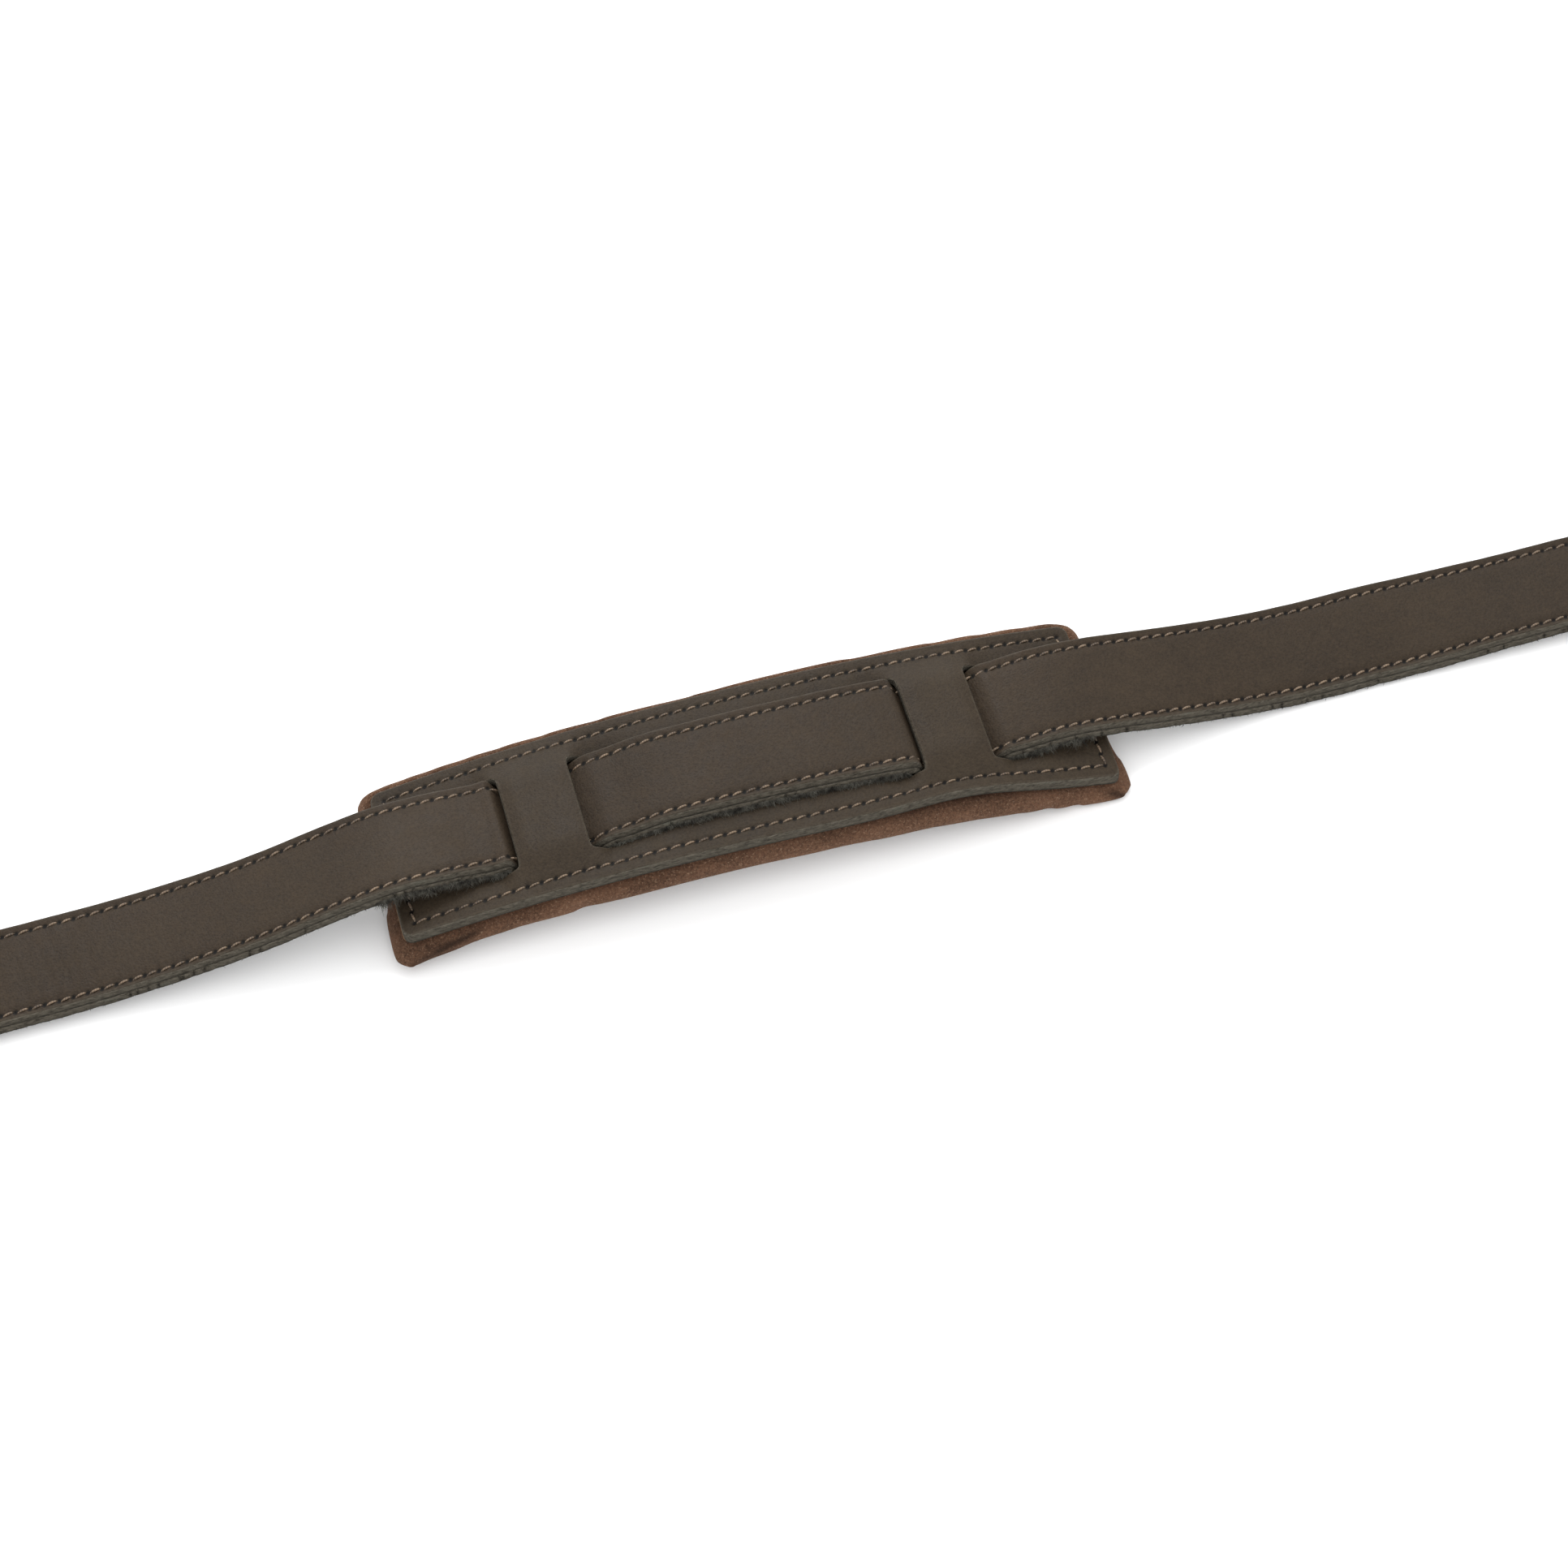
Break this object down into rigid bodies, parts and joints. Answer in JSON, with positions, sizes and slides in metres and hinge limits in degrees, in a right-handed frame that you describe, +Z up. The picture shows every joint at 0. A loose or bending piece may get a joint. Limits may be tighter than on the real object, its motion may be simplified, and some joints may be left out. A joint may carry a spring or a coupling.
{
  "type": "guitar strap",
  "caption": "Leather guitar strap with a padded, slotted shoulder pad that slides along it, a button-hole tab and an adjustable tail.",
  "frame": {"origin": "on the surface the strap lies on, under the middle of its length and width", "axes": "+X along the strap towards the adjustable tail, +Y across the strap, +Z up"},
  "size_m": [1.14, 0.0738, 0.0309],
  "materials": {
    "strap_leather": "smooth dyed grain leather, raw edges",
    "strap_backing": "suede-side backing leather",
    "pad_leather": "smooth dyed grain leather, raw edges",
    "lining": "thin lining leather",
    "suede": "napped brown suede",
    "foam": "closed-cell foam",
    "thread": "waxed brown thread",
    "end_leather": "smooth dyed grain leather, raw edges",
    "nickel": "nickel-plated steel, polished"
  },
  "bodies": {
    "strap": {"strap_top_ply": "strap_leather", "strap_backing_ply": "strap_backing", "strap_stitch_front": "thread", "strap_stitch_back": "thread", "strap_stitch_left_end": "thread", "strap_stitch_right_end": "thread", "front_button_tab": "end_leather", "front_tab_stitching": "thread", "rear_tail": "end_leather", "screw_post_1": "nickel", "screw_post_2": "nickel"},
    "shoulder_pad": {"pad_top_leather": "pad_leather", "pad_lining": "lining", "pad_foam_core": "foam", "pad_suede_cover": "suede", "pad_stitch_front": "thread", "pad_stitch_back": "thread", "pad_stitch_left": "thread", "pad_stitch_right": "thread"},
    "screw_1": {"tail_screw_1": "nickel"},
    "screw_2": {"tail_screw_2": "nickel"}
  },
  "joints": [
    {"name": "pad_slide", "type": "slide", "parent": "strap", "child": "shoulder_pad", "axis": [1, 0, 0], "range_m": [-0.1, 0.1], "deforming": ["strap_top_ply", "strap_backing_ply", "strap_stitch_front", "strap_stitch_back"]},
    {"name": "screw_1_turn", "type": "hinge", "parent": "strap", "child": "screw_1", "pos_m": [0.4, 0, 0.0088], "axis": [0, 0, 1], "continuous": true},
    {"name": "screw_2_turn", "type": "hinge", "parent": "strap", "child": "screw_2", "pos_m": [0.425, 0, 0.0088], "axis": [0, 0, 1], "continuous": true}
  ]
}
